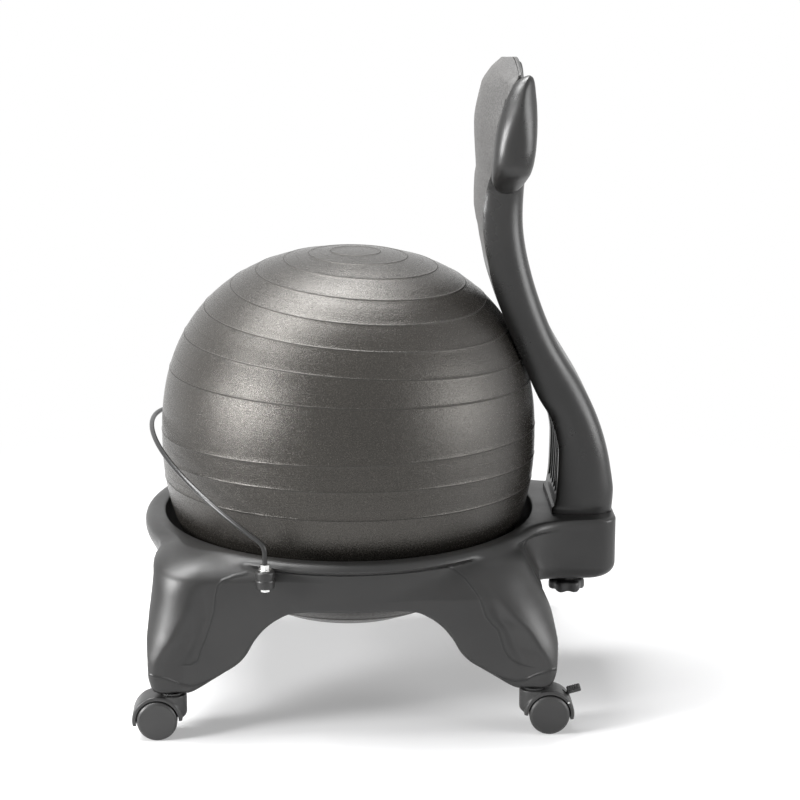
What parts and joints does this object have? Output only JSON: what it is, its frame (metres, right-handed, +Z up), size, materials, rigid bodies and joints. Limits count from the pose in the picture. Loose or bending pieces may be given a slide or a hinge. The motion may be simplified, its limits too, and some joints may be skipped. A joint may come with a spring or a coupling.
{
  "type": "balance ball chair",
  "caption": "Exercise ball chair: an inflated ball held in a moulded four-legged tray on swivel casters, with a wire retaining bar and a curved backrest.",
  "frame": {"origin": "centre of the bounding box at floor level", "axes": "+Z up, +X to the rear where the backrest stands, so the sitter faces -X; +Y to the sitter's right"},
  "size_m": [0.606, 0.527, 0.795],
  "materials": {
    "base_plastic": "moulded, fine grain, satin",
    "backrest_plastic": "moulded, satin sides and a grained grey pad face",
    "ball_vinyl": "fine grained vinyl with raised rings, satin",
    "plug_plastic": "smooth moulded plug",
    "black_steel": "black coated wire, satin",
    "plated_steel": "zinc plated",
    "stem_steel": "black coated",
    "knob_plastic": "moulded, satin",
    "hood_plastic": "moulded nylon, satin",
    "wheel_plastic": "moulded nylon tread and disc, satin",
    "lever_plastic": "moulded nylon, satin"
  },
  "bodies": {
    "base": {"base_shell": "base_plastic", "retaining_bar": "black_steel", "bar_washer_near": "plated_steel", "bar_upper_nut_near": "plated_steel", "bar_lower_nut_near": "plated_steel", "backrest_insert_near": "plated_steel", "bar_washer_far": "plated_steel", "bar_upper_nut_far": "plated_steel", "bar_lower_nut_far": "plated_steel", "backrest_insert_far": "plated_steel", "backrest_shell": "backrest_plastic", "caster_front_near_socket": "plated_steel", "caster_front_near_stem": "stem_steel", "caster_front_far_socket": "plated_steel", "caster_front_far_stem": "stem_steel", "caster_rear_near_socket": "plated_steel", "caster_rear_near_stem": "stem_steel", "caster_rear_far_socket": "plated_steel", "caster_rear_far_stem": "stem_steel"},
    "ball": {"ball": "ball_vinyl", "ball_plug": "plug_plastic"},
    "caster_front_near": {"caster_front_near_hood": "hood_plastic", "caster_front_near_axle": "plated_steel"},
    "caster_front_near_wheel_left": {"caster_front_near_wheel_left": "wheel_plastic"},
    "caster_front_near_wheel_right": {"caster_front_near_wheel_right": "wheel_plastic"},
    "caster_front_far": {"caster_front_far_hood": "hood_plastic", "caster_front_far_axle": "plated_steel"},
    "caster_front_far_wheel_left": {"caster_front_far_wheel_left": "wheel_plastic"},
    "caster_front_far_wheel_right": {"caster_front_far_wheel_right": "wheel_plastic"},
    "caster_rear_near": {"caster_rear_near_hood": "hood_plastic", "caster_rear_near_axle": "plated_steel", "caster_rear_near_brake_pin": "plated_steel"},
    "caster_rear_near_wheel_left": {"caster_rear_near_wheel_left": "wheel_plastic"},
    "caster_rear_near_wheel_right": {"caster_rear_near_wheel_right": "wheel_plastic"},
    "caster_rear_near_brake_lever": {"caster_rear_near_brake_lever": "lever_plastic"},
    "caster_rear_far": {"caster_rear_far_hood": "hood_plastic", "caster_rear_far_axle": "plated_steel", "caster_rear_far_brake_pin": "plated_steel"},
    "caster_rear_far_wheel_left": {"caster_rear_far_wheel_left": "wheel_plastic"},
    "caster_rear_far_wheel_right": {"caster_rear_far_wheel_right": "wheel_plastic"},
    "caster_rear_far_brake_lever": {"caster_rear_far_brake_lever": "lever_plastic"},
    "backrest_knob_near": {"backrest_knob_near": "knob_plastic", "backrest_screw_near": "plated_steel"},
    "backrest_knob_far": {"backrest_knob_far": "knob_plastic", "backrest_screw_far": "plated_steel"}
  },
  "joints": [
    {"name": "ball_turn", "type": "hinge", "parent": "base", "child": "ball", "pos_m": [-0.03454, 0, 0.32], "axis": [0, 0, 1], "continuous": true},
    {"name": "swivel_front_near", "type": "hinge", "parent": "base", "child": "caster_front_near", "pos_m": [-0.25454, -0.22, 0.05], "axis": [0, 0, 1], "continuous": true},
    {"name": "spin_front_near_left", "type": "hinge", "parent": "caster_front_near", "child": "caster_front_near_wheel_left", "pos_m": [-0.27284, -0.2337, 0.0246], "axis": [0, 1, 0], "continuous": true},
    {"name": "spin_front_near_right", "type": "hinge", "parent": "caster_front_near", "child": "caster_front_near_wheel_right", "pos_m": [-0.27284, -0.2063, 0.0246], "axis": [0, 1, 0], "continuous": true},
    {"name": "swivel_front_far", "type": "hinge", "parent": "base", "child": "caster_front_far", "pos_m": [-0.25454, 0.22, 0.05], "axis": [0, 0, 1], "continuous": true},
    {"name": "spin_front_far_left", "type": "hinge", "parent": "caster_front_far", "child": "caster_front_far_wheel_left", "pos_m": [-0.27284, 0.2063, 0.0246], "axis": [0, 1, 0], "continuous": true},
    {"name": "spin_front_far_right", "type": "hinge", "parent": "caster_front_far", "child": "caster_front_far_wheel_right", "pos_m": [-0.27284, 0.2337, 0.0246], "axis": [0, 1, 0], "continuous": true},
    {"name": "swivel_rear_near", "type": "hinge", "parent": "base", "child": "caster_rear_near", "pos_m": [0.18546, -0.22, 0.05], "axis": [0, 0, 1], "continuous": true},
    {"name": "spin_rear_near_left", "type": "hinge", "parent": "caster_rear_near", "child": "caster_rear_near_wheel_left", "pos_m": [0.20376, -0.2063, 0.0246], "axis": [0, 1, 0], "continuous": true},
    {"name": "spin_rear_near_right", "type": "hinge", "parent": "caster_rear_near", "child": "caster_rear_near_wheel_right", "pos_m": [0.20376, -0.2337, 0.0246], "axis": [0, 1, 0], "continuous": true},
    {"name": "brake_rear_near", "type": "hinge", "parent": "caster_rear_near", "child": "caster_rear_near_brake_lever", "pos_m": [0.22675, -0.22, 0.0401], "axis": [0, 1, 0], "range_deg": [0, 20]},
    {"name": "swivel_rear_far", "type": "hinge", "parent": "base", "child": "caster_rear_far", "pos_m": [0.18546, 0.22, 0.05], "axis": [0, 0, 1], "continuous": true},
    {"name": "spin_rear_far_left", "type": "hinge", "parent": "caster_rear_far", "child": "caster_rear_far_wheel_left", "pos_m": [0.20376, 0.2337, 0.0246], "axis": [0, 1, 0], "continuous": true},
    {"name": "spin_rear_far_right", "type": "hinge", "parent": "caster_rear_far", "child": "caster_rear_far_wheel_right", "pos_m": [0.20376, 0.2063, 0.0246], "axis": [0, 1, 0], "continuous": true},
    {"name": "brake_rear_far", "type": "hinge", "parent": "caster_rear_far", "child": "caster_rear_far_brake_lever", "pos_m": [0.22675, 0.22, 0.0401], "axis": [0, 1, 0], "range_deg": [0, 20]},
    {"name": "knob_turn_near", "type": "hinge", "parent": "base", "child": "backrest_knob_near", "pos_m": [0.24349, -0.045, 0.131], "axis": [0, 0, 1], "continuous": true},
    {"name": "knob_turn_far", "type": "hinge", "parent": "base", "child": "backrest_knob_far", "pos_m": [0.24349, 0.045, 0.131], "axis": [0, 0, 1], "continuous": true}
  ]
}
